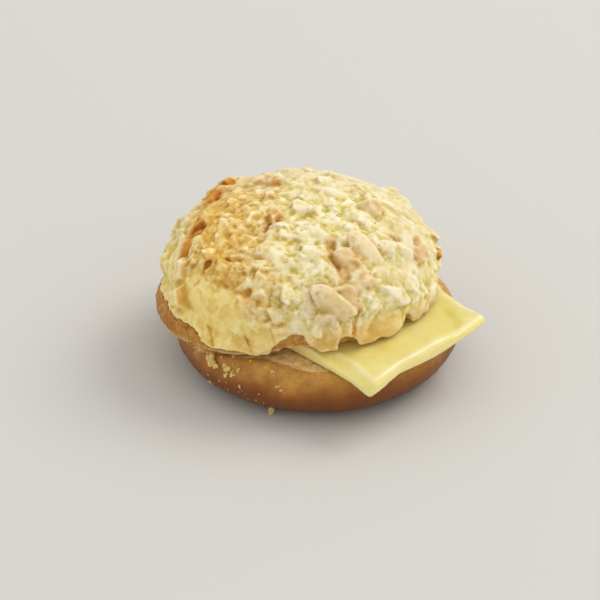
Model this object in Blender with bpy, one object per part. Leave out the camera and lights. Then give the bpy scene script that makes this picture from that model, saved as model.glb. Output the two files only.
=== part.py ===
"""A split sweet bun with a crumbly biscuit crust and a slab of butter in its mouth.

Four solids, from the table up: the lower half of the bread, the butter, the upper half of the bread and the
biscuit crust that was baked onto it. The origin is on the table under the middle of the lower half, +Z is up
and the mouth, with the butter in it, faces -Y.
"""

import math
import random

import bmesh
import bpy
from mathutils import Matrix, Vector, noise

MM = 0.001
GAP = 0.45 * MM  # air between pieces that touch

# The lower half: a round, flat-bottomed bread, cut open a little above its widest level.
HEEL_RADIUS = 51.0 * MM
HEEL_FOOT = 18.0 * MM  # the flat foot's edge is this far inside the widest level
HEEL_WIDEST_HEIGHT = 14.0 * MM
HEEL_TAPER = 70.0  # per metre: how fast the side leans in above its widest level

# The knife cut: level under the butter, lower towards the back, with raised lips beside the butter.
CUT_HEIGHT = 21.0 * MM
CUT_FALL = 7.0 * MM
CUT_FALL_START = -14.0 * MM
CUT_FALL_END = 42.0 * MM
# The lips of the cut: place, reach, height.
CUT_LIPS = (
    (Vector((-44.5 * MM, -16 * MM)), 10 * MM, 1.6 * MM),
    (Vector((-48 * MM, 13 * MM)), 8 * MM, 1.2 * MM),
)

# The butter: a slab cut by hand, askew, a little wider inside than at its free edge.
SLAB_MIDDLE = -1.1 * MM
SLAB_SKEW = 2.8 * MM  # its middle is this far to the right once it is inside the mouth
SLAB_SKEW_LENGTH = 30 * MM
SLAB_FRONT = -55.6 * MM
SLAB_BACK = 8.0 * MM
SLAB_FRONT_HALF_WIDTH = 30.0 * MM
SLAB_BACK_HALF_WIDTH = 32.0 * MM
SLAB_THICKNESS = 5.0 * MM
SLAB_THIN = 1.2 * MM  # how much thinner its curled corner is
SLAB_DROOP = 18.0  # per metre, past the bread that carries it
SLAB_CARRIED_RADIUS = 50.5 * MM
SLAB_CURL = 1.6 * MM

# The upper half: pushed back by the butter, wide and low, bulging under its crust.
CROWN_CENTRE = Vector((-0.5 * MM, 8.3 * MM))
CROWN_RADIUS = 46.3 * MM
CROWN_WIDEST_HEIGHT = 33.0 * MM
CROWN_RISE = 21.8 * MM
CROWN_FULLNESS = 2.2  # 2 is an ellipse, more is squarer at the shoulder
CROWN_BULGE = 4.0 * MM
CROWN_CHEEK = (math.radians(142), math.radians(24), 1.6 * MM)  # angle, spread, height of a rounder place
BULGE_HEIGHTS = (23.5 * MM, 30.0 * MM)  # full at the first, nothing at the second
CROWN_TUCK = 2.0 * MM  # the cut edge is rounded in by this, and over the butter by the next
CROWN_TUCK_OVER_BUTTER = 0.7 * MM
BUTTER_ANGLES = (math.radians(266), math.radians(36), math.radians(52))  # its middle, then full and none
DRAPE_MARGIN = 2.5 * MM  # the bread stays lifted this far beside the butter
DRAPE_FALL = 7.0 * MM

# The biscuit crust.
CRUST_THICKNESS = 3.2 * MM
CRUST_LIP = 2.4 * MM
CRUST_HANG = 1.8 * MM  # over the butter its edge is thicker by this
CRUST_EDGE_HEIGHT = 27.3 * MM
CRUST_EDGE_RAGGED = 1.3 * MM
CRUST_CLEAR = 0.5 * MM  # the crust's edge stays this far above the bread's cut edge
# Along its edge: angle, spread and change of height. Below nothing it hangs lower, above it is torn.
CRUST_EDGES = (
    (math.radians(207), math.radians(17), -3.2 * MM),
    (math.radians(187), math.radians(9), -1.6 * MM),
    (math.radians(222.2), math.radians(6.2), 9.5 * MM),
    (math.radians(245), math.radians(3.8), 5.0 * MM),
    (math.radians(272), math.radians(26), -3.0 * MM),
)
CRUST_RELIEF = 1.0 * MM
PEBBLE_SIZE = 7.0 * MM
PEBBLE_SHIFTS = (Vector((9, 0, 0)), Vector((0, 17, 0)), Vector((0, 0, 31)))  # far enough apart to differ
CHUNKS = 24
CHUNK_SIZES = (2.0 * MM, 3.6 * MM)
# Larger flakes of crust: angle, height of the bread under them, half length and half width.
FLAKES = (
    (241, 42, 7.6, 4.6),
    (256, 48.5, 9.0, 7.8),
    (321, 52, 3.6, 4.0),
    (86, 47.5, 4.2, 3.6),
    (66, 53, 3.4, 3.0),
    (104, 54.8, 3.2, 2.8),
    (179, 54.8, 3.0, 2.6),
    (164, 34, 4.0, 2.8),
)

BREAD_TURNS = 48  # the crust's outside has twice as many
DOME_STEPS = 8  # the bread and the inside of its crust share these, so that the gap between them stays even
WALL_SHARES = (0.33, 0.67, 1)  # the same below the widest level
CRUST_RINGS = 22
SEED = 11


def smooth(value):
    """Goes from 0 to 1 as value does, level at both ends."""
    value = min(max(value, 0.0), 1.0)
    return value * value * (3 - 2 * value)


def bump(point, place, reach, height):
    """A soft rise of that height at a place, in plan."""
    return height * math.exp(-((point - place).length / reach) ** 2)


def turn_between(a, b):
    """The smallest angle from a to b."""
    return abs((a - b + math.pi) % (2 * math.pi) - math.pi)


def on_circle(angle, radius, centre=Vector((0, 0))):
    return centre + radius * Vector((math.cos(angle), math.sin(angle)))


def cut_height(place):
    """The height of the knife cut at a place in plan."""
    fall = smooth((place.y - CUT_FALL_START) / (CUT_FALL_END - CUT_FALL_START))
    return CUT_HEIGHT - CUT_FALL * fall + sum(bump(place, *lip) for lip in CUT_LIPS)


def heel_radius(angle, height):
    widest = HEEL_RADIUS + 0.5 * MM * noise.noise(Vector((2 * math.cos(angle), 2 * math.sin(angle), 4)))
    if height > HEEL_WIDEST_HEIGHT:
        return widest - HEEL_TAPER * (height - HEEL_WIDEST_HEIGHT) ** 2
    sunk = 1 - height / HEEL_WIDEST_HEIGHT
    return widest - HEEL_FOOT + HEEL_FOOT * math.sqrt(max(0.0, 1 - sunk * sunk))


def slab_share(y):
    """0 at the butter's free edge, 1 inside the mouth."""
    return min(max((y - SLAB_FRONT) / SLAB_SKEW_LENGTH, 0.0), 1.0)


def slab_middle(y):
    return SLAB_MIDDLE + SLAB_SKEW * slab_share(y)


def slab_half_width(y):
    return SLAB_FRONT_HALF_WIDTH + (SLAB_BACK_HALF_WIDTH - SLAB_FRONT_HALF_WIDTH) * slab_share(y)


def slab_bottom(place):
    """The butter's underside: flat on the bread, then drooping, with its right corner curled up."""
    droop = SLAB_DROOP * max(0.0, place.length - SLAB_CARRIED_RADIUS) ** 2
    curl = SLAB_CURL * smooth((place.x - 2 * MM) / (28 * MM)) * smooth((-place.y - 40 * MM) / (15 * MM))
    return cut_height(place) + GAP - droop * (1 - smooth(place.x / (25 * MM))) + curl


def slab_top(place):
    thin = SLAB_THIN * smooth(place.x / (30 * MM)) * smooth((-place.y - 20 * MM) / (30 * MM))
    wave = 0.35 * MM * math.sin(place.x / (5.5 * MM) + 1) * smooth((-place.y - 35 * MM) / (20 * MM))
    return slab_bottom(place) + SLAB_THICKNESS - thin + wave


def beside_slab(place):
    """How far a place in plan lies outside the butter's outline, 0 inside it."""
    aside = abs(place.x - slab_middle(place.y)) - slab_half_width(place.y)
    behind = max(place.y - SLAB_BACK, SLAB_FRONT - place.y)
    return math.hypot(max(0.0, aside), max(0.0, behind))


def crown_bottom(place):
    """The upper half's cut face: it lies on the lower half and is draped over the butter."""
    low = cut_height(place) + GAP
    lifted = 1 - smooth((beside_slab(place) - DRAPE_MARGIN) / DRAPE_FALL)
    if lifted <= 0:
        return low
    return low + lifted * max(0.0, slab_top(place) + GAP - low)


def over_butter(angle):
    """1 where the upper half's edge lies on the butter, 0 away from it."""
    middle, full, none = BUTTER_ANGLES
    return 1 - smooth((turn_between(angle, middle) - full) / (none - full))


def crown_tuck(angle):
    return CROWN_TUCK + (CROWN_TUCK_OVER_BUTTER - CROWN_TUCK) * over_butter(angle)


def crown_bulge(angle):
    """The bread bulges under its crust at the sides and back, and not over the butter."""
    behind = smooth((turn_between(angle, math.radians(-90)) - math.radians(48)) / math.radians(40))
    centre, spread, more = CROWN_CHEEK
    return CROWN_BULGE * behind + more * math.exp(-((turn_between(angle, centre) / spread) ** 2))


def crown_wall_radius(angle, height, edge_height):
    """The radius below the widest level of the dome, down to the cut edge."""
    full, none = BULGE_HEIGHTS
    out = crown_bulge(angle) * smooth((none - height) / (none - full))
    tuck = crown_tuck(angle) * (1 - smooth((height - edge_height) / (4 * MM)))
    return CROWN_RADIUS + out - tuck


def crown_edge_height(angle):
    """The height of the upper half's cut edge, found where the wall meets the cut face."""
    height = crown_bottom(on_circle(angle, CROWN_RADIUS, CROWN_CENTRE))
    reach = CROWN_RADIUS + crown_bulge(angle) - crown_tuck(angle)
    return max(height, crown_bottom(on_circle(angle, reach, CROWN_CENTRE)))


def crown_point(angle, height_or_rise, on_dome):
    """A point of the bread's outer skin and the way out of it."""
    ray = Vector((math.cos(angle), math.sin(angle)))
    if on_dome:
        power = 2 / CROWN_FULLNESS
        across = max(0.0, math.cos(height_or_rise)) ** power
        up = math.sin(height_or_rise) ** power
        radius = CROWN_RADIUS * across
        height = CROWN_WIDEST_HEIGHT + CROWN_RISE * up
        lean = across ** (CROWN_FULLNESS - 1) / CROWN_RADIUS
        stand = up ** (CROWN_FULLNESS - 1) / CROWN_RISE
        out = Vector((ray.x * lean, ray.y * lean, stand)).normalized()
    else:
        height = height_or_rise
        radius = crown_wall_radius(angle, height, crown_edge_height(angle))
        out = Vector((ray.x, ray.y, 0))
    place = CROWN_CENTRE + radius * ray
    return Vector((place.x, place.y, height)), out


def dome_point_at_height(angle, height):
    """The point of the skin at a height, whichever part of it that is."""
    if height <= CROWN_WIDEST_HEIGHT:
        return crown_point(angle, height, False)
    up = min(1.0, (height - CROWN_WIDEST_HEIGHT) / CROWN_RISE)
    return crown_point(angle, math.asin(up ** (CROWN_FULLNESS / 2)), True)


def crust_edge_height(angle):
    """The ragged lower edge of the biscuit crust."""
    ray = Vector((math.cos(angle), math.sin(angle), 0))
    ragged = noise.noise(ray * 6) + 0.8 * noise.noise(ray * 14 + Vector((0, 0, 3)))
    height = CRUST_EDGE_HEIGHT + CRUST_EDGE_RAGGED * ragged
    for centre, spread, change in CRUST_EDGES:
        height += change * math.exp(-((turn_between(angle, centre) / spread) ** 2))
    beneath = crown_bottom(on_circle(angle, CROWN_RADIUS + CRUST_LIP + CRUST_HANG, CROWN_CENTRE))
    return max(height, max(beneath, crown_edge_height(angle)) + CRUST_CLEAR)


def wall_height(angle, share):
    """A height between the widest level and the crust's edge."""
    edge = min(crust_edge_height(angle), CROWN_WIDEST_HEIGHT - 0.5 * MM)
    return CROWN_WIDEST_HEIGHT + (edge - CROWN_WIDEST_HEIGHT) * share


def pebbles(point):
    """Lumps with creases between them, from -1 to 1."""
    slow = point / (9 * MM)
    wobble = Vector([noise.noise(slow + shift) for shift in PEBBLE_SHIFTS]) * 0.4
    near = noise.voronoi(point / PEBBLE_SIZE + wobble)[0]
    return 1 - 2.2 * near[0] + 0.5 * noise.noise(point / (4 * MM))


def calm(angle, height):
    """How smooth the crust is there: the apron at its lower edge is smooth, the rest is crumbly."""
    beside = turn_between(angle, CRUST_EDGES[0][0]) / math.radians(36)
    return (1 - smooth(beside - 0.4)) * (1 - smooth((height - 29 * MM) / (9 * MM)))


def halve(work, upper, lower):
    """Joins a ring to one with half as many points."""
    for i in range(len(lower)):
        j = (i + 1) % len(lower)
        middle = upper[2 * i + 1]
        work.faces.new((upper[2 * i], middle, lower[i]))
        work.faces.new((middle, upper[2 * j], lower[j], lower[i]))


def shell(name, rings, material):
    """A closed mesh through rings of points. A ring of one point is a pole."""
    mesh = bpy.data.meshes.new(name)
    work = bmesh.new()
    made = [[work.verts.new(point) for point in ring] for ring in rings]
    for upper, lower in zip(made, made[1:]):
        if len(upper) == 2 * len(lower):
            halve(work, upper, lower)
            continue
        count = max(len(upper), len(lower))
        for i in range(count):
            j = (i + 1) % count
            if len(upper) == 1:
                work.faces.new((upper[0], lower[i], lower[j]))
            elif len(lower) == 1:
                work.faces.new((upper[i], lower[0], upper[j]))
            else:
                work.faces.new((upper[i], lower[i], lower[j], upper[j]))
    bmesh.ops.recalc_face_normals(work, faces=work.faces)
    bmesh.ops.triangulate(work, faces=work.faces)
    work.to_mesh(mesh)
    work.free()
    mesh.shade_smooth()
    piece = bpy.data.objects.new(name, mesh)
    bpy.context.scene.collection.objects.link(piece)
    mesh.materials.append(material)
    return piece


def food(name, colour, roughness):
    """A plain food finish."""
    material = bpy.data.materials.new(name)
    material.use_nodes = True
    shader = material.node_tree.nodes["Principled BSDF"]
    shader.inputs["Base Color"].default_value = (*colour, 1)
    shader.inputs["Roughness"].default_value = roughness
    return material


def angles(count):
    return [2 * math.pi * i / count for i in range(count)]


def make_heel():
    """The lower half: flat foot, rounded side, cut face."""
    turns = angles(BREAD_TURNS)
    rims = []
    for angle in turns:
        place = on_circle(angle, HEEL_RADIUS)
        rims.append(cut_height(place))
    rings = [[Vector((0, 0, 0))]]
    rings.append([on_circle(a, 0.5 * heel_radius(a, 0)).to_3d() for a in turns])
    side_steps = 9
    for step in range(side_steps + 1):
        share = (step / side_steps) ** 1.6
        ring = []
        for angle, rim in zip(turns, rims):
            height = (rim - 1 * MM) * share
            place = on_circle(angle, heel_radius(angle, height))
            ring.append(Vector((place.x, place.y, height)))
        rings.append(ring)
    for share in (0.985, 0.9, 0.76, 0.6, 0.42, 0.22):
        ring = []
        for angle, rim in zip(turns, rims):
            place = on_circle(angle, share * heel_radius(angle, rim))
            ring.append(Vector((place.x, place.y, cut_height(place))))
        rings.append(ring)
    rings.append([Vector((0, 0, cut_height(Vector((0, 0)))))])
    return shell("heel_bread", rings, food("baked bread", (0.50, 0.24, 0.07), 0.55))


def make_slab():
    """The butter: a wavy slab, its long edges a little rounded."""
    across = 14
    along = 16
    work = bmesh.new()
    grids = []
    for height in (slab_bottom, slab_top):
        grid = []
        for i in range(along + 1):
            row = []
            for j in range(across + 1):
                side = 2 * j / across - 1
                y = SLAB_FRONT + (SLAB_BACK - SLAB_FRONT) * i / along
                x = slab_middle(y) + side * slab_half_width(y)
                nick = 1.3 * MM * math.exp(-((x + 14 * MM) / (6 * MM)) ** 2)
                y += nick * (1 - i / along) ** 4
                row.append(work.verts.new((x, y, height(Vector((x, y))))))
            grid.append(row)
        grids.append(grid)
        for i in range(along):
            for j in range(across):
                work.faces.new((grid[i][j], grid[i][j + 1], grid[i + 1][j + 1], grid[i + 1][j]))
    low, high = grids
    outline = [(0, j) for j in range(across)] + [(i, across) for i in range(along)]
    outline += [(along, j) for j in range(across, 0, -1)] + [(i, 0) for i in range(along, 0, -1)]
    for (a, b), (c, d) in zip(outline, outline[1:] + outline[:1]):
        work.faces.new((low[a][b], low[c][d], high[c][d], high[a][b]))
    bmesh.ops.recalc_face_normals(work, faces=work.faces)
    sharp = [e for e in work.edges if e.calc_face_angle(0) > math.radians(50)]
    bmesh.ops.bevel(work, geom=sharp, offset=0.9 * MM, segments=2, profile=0.5, affect="EDGES")
    bmesh.ops.triangulate(work, faces=work.faces)
    mesh = bpy.data.meshes.new("butter_slab")
    work.to_mesh(mesh)
    work.free()
    mesh.shade_smooth()
    mesh.set_sharp_from_angle(angle=math.radians(40))
    mesh.materials.append(food("butter", (0.87, 0.74, 0.25), 0.4))
    piece = bpy.data.objects.new("butter_slab", mesh)
    bpy.context.scene.collection.objects.link(piece)
    return piece


def make_crown():
    """The upper half of the bread, under its crust."""
    turns = angles(BREAD_TURNS)
    apex, _ = crown_point(0, math.pi / 2, True)
    rings = [[apex]]
    for step in range(1, DOME_STEPS + 1):
        rise = math.pi / 2 * (1 - step / DOME_STEPS)
        rings.append([crown_point(a, rise, True)[0] for a in turns])
    for share in WALL_SHARES:
        rings.append([crown_point(a, wall_height(a, share), False)[0] for a in turns])
    for share in (0.5, 1):
        ring = []
        for angle in turns:
            high = wall_height(angle, 1)
            low = crown_edge_height(angle) + 0.25 * MM
            ring.append(crown_point(angle, high + (low - high) * share, False)[0])
        rings.append(ring)
    for share in (0.985, 0.91, 0.82, 0.72, 0.61, 0.5, 0.38, 0.25, 0.12):
        ring = []
        for angle in turns:
            reach = crown_wall_radius(angle, crown_edge_height(angle), crown_edge_height(angle))
            place = on_circle(angle, share * reach, CROWN_CENTRE)
            ring.append(Vector((place.x, place.y, crown_bottom(place))))
        rings.append(ring)
    rings.append([Vector((CROWN_CENTRE.x, CROWN_CENTRE.y, crown_bottom(CROWN_CENTRE)))])
    return shell("crown_bread", rings, food("baked bread top", (0.55, 0.28, 0.09), 0.55))


def crust_skin(angle, share):
    """A point of the skin under the crust, and the way out. Share is 0 at the apex, 1 at the crust's edge."""
    edge = crust_edge_height(angle)
    dome = CROWN_RISE + CROWN_RADIUS
    wall = CROWN_WIDEST_HEIGHT - edge
    if edge >= CROWN_WIDEST_HEIGHT:
        lowest_rise = math.asin(((edge - CROWN_WIDEST_HEIGHT) / CROWN_RISE) ** (CROWN_FULLNESS / 2))
        return crown_point(angle, math.pi / 2 + (lowest_rise - math.pi / 2) * share, True)
    split = dome / (dome + 1.4 * wall)
    if share <= split:
        return crown_point(angle, math.pi / 2 * (1 - share / split), True)
    return crown_point(angle, CROWN_WIDEST_HEIGHT - wall * (share - split) / (1 - split), False)


def make_chunk(work, point, out, length, width, height, rng):
    """One lump of biscuit, sunk into the crust."""
    subdivisions = 2 if length > 3.2 * MM else 1
    lump = bmesh.ops.create_icosphere(work, subdivisions=subdivisions, radius=1.0)["verts"]
    spin = Matrix.Rotation(rng.uniform(0, 2 * math.pi), 4, "Z")
    stand = out.to_track_quat("Z", "Y").to_matrix().to_4x4()
    shift = Vector((rng.uniform(0, 9), rng.uniform(0, 9), rng.uniform(0, 9)))
    for vert in lump:
        rough = 1 + 0.3 * noise.noise(vert.co * 1.3 + shift)
        shaped = Vector((vert.co.x * length, vert.co.y * width, vert.co.z * height)) * rough
        vert.co = Matrix.Translation(point) @ stand @ spin @ shaped


def drop_scraps(piece):
    """Keeps the largest connected body of a mesh."""
    work = bmesh.new()
    work.from_mesh(piece.data)
    left = set(work.verts)
    bodies = []
    while left:
        reached = [left.pop()]
        for vert in reached:
            for edge in vert.link_edges:
                other = edge.other_vert(vert)
                if other in left:
                    left.remove(other)
                    reached.append(other)
        bodies.append(reached)
    bodies.sort(key=len)
    for body in bodies[:-1]:
        bmesh.ops.delete(work, geom=body, context="VERTS")
    work.to_mesh(piece.data)
    work.free()


def make_chunks():
    """The loose lumps and flakes on the crust, each a closed mesh, in a collection of their own."""
    group = bpy.data.collections.new("crust_chunks")
    bpy.context.scene.collection.children.link(group)
    rng = random.Random(SEED)
    lumps = []
    for degrees, height, length, width in FLAKES:
        lumps.append((math.radians(degrees), height * MM, length * MM, width * MM, 2.0 * MM))
    golden = math.pi * (3 - math.sqrt(5))
    for i in range(CHUNKS):
        rise = math.asin(1 - (i + 0.5) / CHUNKS * 0.93)
        angle = (i * golden + rng.uniform(-0.15, 0.15)) % (2 * math.pi)
        height = CROWN_WIDEST_HEIGHT + CROWN_RISE * math.sin(rise) ** (2 / CROWN_FULLNESS)
        size = rng.uniform(*CHUNK_SIZES)
        if calm(angle, height) < 0.5:
            lumps.append((angle, height, size, size * rng.uniform(0.7, 1), size * rng.uniform(0.5, 0.65)))
    for i, (angle, height, length, width, thick) in enumerate(lumps):
        point, out = dome_point_at_height(angle, height)
        work = bmesh.new()
        lift = max(CRUST_THICKNESS, 1.3 * thick) + 0.3 * MM
        make_chunk(work, point + out * lift, out, length, width, thick, rng)
        mesh = bpy.data.meshes.new(f"chunk_{i}")
        work.to_mesh(mesh)
        work.free()
        group.objects.link(bpy.data.objects.new(f"chunk_{i}", mesh))
    return group


def crust_inside(turns):
    """The rings of the crust's inner face, from its edge up, a gap off the bread."""
    rings = []
    for share in reversed(WALL_SHARES):
        ring = []
        for angle in turns:
            point, out = crown_point(angle, wall_height(angle, share), False)
            ring.append(point + out * GAP)
        rings.append(ring)
    for step in range(DOME_STEPS, 0, -1):
        rise = math.pi / 2 * (1 - step / DOME_STEPS)
        rings.append([point + out * GAP for point, out in (crown_point(a, rise, True) for a in turns)])
    return rings


def make_crust():
    """The biscuit crust: a lumpy shell over the upper half, with a ragged edge and lumps fused to it."""
    turns = angles(2 * BREAD_TURNS)
    rings = []
    apex, up = crust_skin(0, 0)
    rings.append([apex + up * (GAP + CRUST_THICKNESS)])
    for step in range(1, CRUST_RINGS + 1):
        share = step / CRUST_RINGS
        ring = []
        for angle in turns:
            point, out = crust_skin(angle, share)
            still = calm(angle, point.z)
            fade = 1 - smooth((share - 0.93) / 0.07)
            relief = CRUST_RELIEF * pebbles(point) * (1 - 0.8 * still) * fade
            near_edge = smooth((share - 0.8) / 0.2)
            lip = CRUST_LIP + CRUST_HANG * over_butter(angle)
            thickness = CRUST_THICKNESS + (lip - CRUST_THICKNESS) * near_edge
            ring.append(point + out * (GAP + max(1.3 * MM, thickness + relief)))
        rings.append(ring)
    rings += crust_inside(angles(BREAD_TURNS))
    rings.append([apex + up * GAP])
    crust = shell("biscuit_crust", rings, food("biscuit crust", (0.83, 0.66, 0.33), 0.8))
    chunks = make_chunks()
    join = crust.modifiers.new("fuse lumps", "BOOLEAN")
    join.operation = "UNION"
    join.operand_type = "COLLECTION"
    join.collection = chunks
    bpy.context.view_layer.objects.active = crust
    bpy.ops.object.modifier_apply(modifier=join.name)
    for lump in list(chunks.objects):
        bpy.data.objects.remove(lump)
    bpy.data.collections.remove(chunks)
    drop_scraps(crust)
    crust.data.shade_smooth()
    return crust


def main():
    for old in list(bpy.data.objects):
        bpy.data.objects.remove(old)
    make_heel()
    make_slab()
    make_crown()
    make_crust()


main()
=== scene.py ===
"""The looks of a split sweet bun: brown bread, a crackled crumbly biscuit crust, a slab of cold butter.

Each piece starts from its solid, is remeshed finely, and is then broken, torn or smoothed as the real food
is. Lengths are in millimetres inside the functions that shape a surface, and in metres on the objects.
"""

import math
import random

import bpy
import numpy as np
from mathutils import Matrix, Vector, noise
from mathutils.kdtree import KDTree


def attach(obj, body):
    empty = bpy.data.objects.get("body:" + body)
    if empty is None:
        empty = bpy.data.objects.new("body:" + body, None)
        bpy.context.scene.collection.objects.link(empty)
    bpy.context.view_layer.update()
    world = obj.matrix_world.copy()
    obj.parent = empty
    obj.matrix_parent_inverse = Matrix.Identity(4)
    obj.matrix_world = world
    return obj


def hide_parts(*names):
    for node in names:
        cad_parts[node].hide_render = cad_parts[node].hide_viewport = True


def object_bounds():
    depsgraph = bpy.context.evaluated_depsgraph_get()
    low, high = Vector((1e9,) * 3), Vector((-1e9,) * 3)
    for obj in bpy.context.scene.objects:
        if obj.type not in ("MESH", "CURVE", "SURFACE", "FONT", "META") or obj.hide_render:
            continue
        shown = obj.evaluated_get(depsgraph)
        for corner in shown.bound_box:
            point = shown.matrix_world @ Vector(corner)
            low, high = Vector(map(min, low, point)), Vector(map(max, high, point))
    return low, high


MM = 0.001

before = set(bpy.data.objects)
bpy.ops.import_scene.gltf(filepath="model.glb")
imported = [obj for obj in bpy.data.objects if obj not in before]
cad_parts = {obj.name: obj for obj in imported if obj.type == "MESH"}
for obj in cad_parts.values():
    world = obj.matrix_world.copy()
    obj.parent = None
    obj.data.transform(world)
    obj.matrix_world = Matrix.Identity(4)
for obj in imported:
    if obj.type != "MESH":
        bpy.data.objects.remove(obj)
cad_low, cad_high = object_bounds()

# Where the photograph was taken from: its right-hand direction, and the camera's height and distance.
SHOT_TURN = math.radians(-45.8)
SHOT_ELEVATION = math.radians(31.4)
SHOT_DISTANCE = 2.0
SHOT_LENS = 335
SHOT_RIGHT = Vector((math.cos(SHOT_TURN), math.sin(SHOT_TURN), 0))
SHOT_AWAY = Vector((-math.sin(SHOT_TURN), math.cos(SHOT_TURN), 0))
SHOT_UP = SHOT_AWAY * math.sin(SHOT_ELEVATION) + Vector((0, 0, math.cos(SHOT_ELEVATION)))
SHOT_AIM = SHOT_RIGHT * -6.1 * MM + Vector((0, 0, 22.6 * MM))

SHOT_RIGHT_WAY = np.array(SHOT_RIGHT)
SHOT_AWAY_WAY = np.array(SHOT_AWAY)

# The size of each piece's faces in millimetres, and how many triangles the crust may have in all.
BREAD_FACE = 0.8
BUTTER_FACE = 0.6
ROUGH_CRUST_FACE = 0.75
CRUST_FACE = 0.55
CRUST_TRIANGLES = 186000

# The point inside the crown that its surface faces away from, in millimetres.
CROWN_MIDDLE = np.array((-0.5, 8.3, 25.0))

# Lumps of biscuit that stand out: place, half length, half width, half thickness, slope of its length as
# the camera sees it in degrees, browning.
LUMPS = (
    ((0.1, 44.0, 51.8), 3.2, 2.6, 2.8, -20, 0.9),
    ((-5.5, 44.4, 51.2), 3.4, 2.0, 2.0, -40, 0.8),
    ((-10.5, 42.0, 51.6), 3.6, 2.0, 2.0, -35, 0.85),
    ((6.2, 26.4, 57.0), 2.7, 1.9, 2.2, -35, 0.7),
    ((-2.2, 22.0, 57.4), 2.8, 2.2, 2.4, -50, 0.4),
    ((-12.3, 9.2, 58.2), 2.9, 2.6, 2.8, -80, 0.6),
    ((18.9, -9.8, 55.8), 4.0, 3.3, 3.0, 70, 0.4),
    ((34.2, -27.0, 38.5), 2.3, 1.7, 1.6, -60, 0.85),
    ((-23.8, -30.8, 44.9), 8.6, 4.4, 3.0, 32, 0.22),
    ((-17.4, -35.2, 42.6), 2.6, 2.0, 1.8, 40, 0.45),
    ((-9.0, -24.6, 52.6), 5.6, 4.6, 2.6, 40, 0.38),
    ((-1.6, -24.6, 54.0), 7.4, 4.6, 3.0, 46, 0.12),
    ((-13.6, -27.0, 50.4), 2.6, 1.6, 1.6, -10, 0.1),
    ((-9.4, -33.4, 48.6), 3.6, 2.0, 1.6, 15, 0.32),
    ((-17.5, -31.5, 47.0), 4.2, 2.2, 2.0, 10, 0.35),
    ((-35.6, -8.4, 48.4), 3.9, 3.5, 2.6, 15, 0.0),
    ((-26.6, -5.0, 53.7), 5.2, 3.9, 2.6, 30, 0.0),
    ((6.0, 37.6, 53.2), 5.2, 3.4, 2.0, -15, 0.0),
    ((31.0, -12.3, 48.7), 5.0, 3.8, 2.8, 60, 0.05),
    ((14.6, 6.0, 57.2), 5.0, 3.6, 2.4, 20, 0.0),
    ((-8.6, -9.7, 56.6), 4.6, 2.8, 2.2, 40, 0.0),
    ((-1.5, 7.1, 59.0), 4.0, 3.0, 2.0, -20, 0.0),
    ((-49.6, 21.6, 36.2), 4.4, 2.2, 1.8, 60, 0.0),
    ((-43.8, 26.0, 42.0), 4.0, 3.0, 2.0, 75, 0.05),
)

# Grooves and cracks in the crust: points along it, half width, depth, browning.
GROOVES = (
    (((-27.3, 33.1, 50.9), (-32.9, 32.0, 49.2), (-37.8, 30.7, 46.1)), 3.1, 3.0, 1.5),
    (((-7.7, -13.7, 56.2), (-14.7, -22.4, 54.2), (-15.2, -28.8, 51.2)), 1.9, 2.2, 0.5),
    (((-47.6, 16.3, 42.7), (-45.2, 13.8, 46.4), (-45.3, 5.2, 46.8), (-43.3, -4.7, 46.4)), 0.8, 1.7, 0.45),
    (((-45.1, -4.5, 44.2), (-47.8, -6.1, 35.0)), 0.55, 1.3, 0.3),
    (((-49.6, 5.6, 31.0), (-51.4, 1.2, 25.6)), 0.6, 1.4, 0.5),
    (((-46.4, -9.4, 33.0), (-45.5, -11.8, 26.5)), 0.5, 1.3, 0.5),
    (((-42.3, -17.9, 37.2), (-40.6, -19.5, 28.5)), 0.45, 1.2, 0.4),
    (((-41.6, -6.6, 47.4), (-42.8, -6.6, 46.0)), 1.6, 1.9, 0.6),
    (((-42.2, -15.0, 39.6), (-39.2, -21.8, 38.4)), 1.1, 1.8, 0.4),
    (((-19.4, 6.5, 56.1), (-16.4, 9.0, 57.0)), 1.5, 2.0, 0.6),
    (((-36.8, 8.9, 51.6), (-35.2, 6.0, 52.6), (-34.0, 0.0, 52.8)), 0.9, 1.9, 0.6),
    (((-43.8, 15.2, 47.4), (-40.0, 14.0, 50.0)), 1.2, 1.8, 0.6),
    (((16.8, -33.5, 45.3), (19.4, -31.0, 46.4), (22.6, -30.4, 45.8)), 2.6, 0.4, 0.36),
    (((16.8, -24.1, 50.7), (13.9, -22.5, 52.0)), 1.5, 1.0, 0.5),
    (((22.2, -28.0, 48.0), (24.4, -25.6, 48.9)), 1.4, 1.0, 0.4),
    (((-29.5, -27.0, 43.0), (-33.0, -27.0, 38.0)), 1.0, 1.6, 0.5),
    (((-17.6, -36.6, 40.5), (-19.6, -37.2, 37.0), (-20.6, -38.4, 31.1)), 0.9, 2.4, 0.7),
    (((3.7, -41.6, 32.0), (5.0, -42.6, 28.0)), 1.2, 2.6, 0.8),
    (((-11.6, -22.0, 54.6), (-14.0, -27.0, 51.6)), 2.2, 1.4, 0.47),
    (((-31.5, 33.0, 49.6), (-22.0, 38.0, 50.8)), 0.8, 1.5, 0.7),
)

# Smooth tiles low on the crust, each kept whole.
TILE_SEEDS = ((-48.5, 12.0, 36.0), (-48.0, 0.0, 37.0), (-46.0, -9.5, 34.0), (-41.5, -17.0, 33.0))

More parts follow.
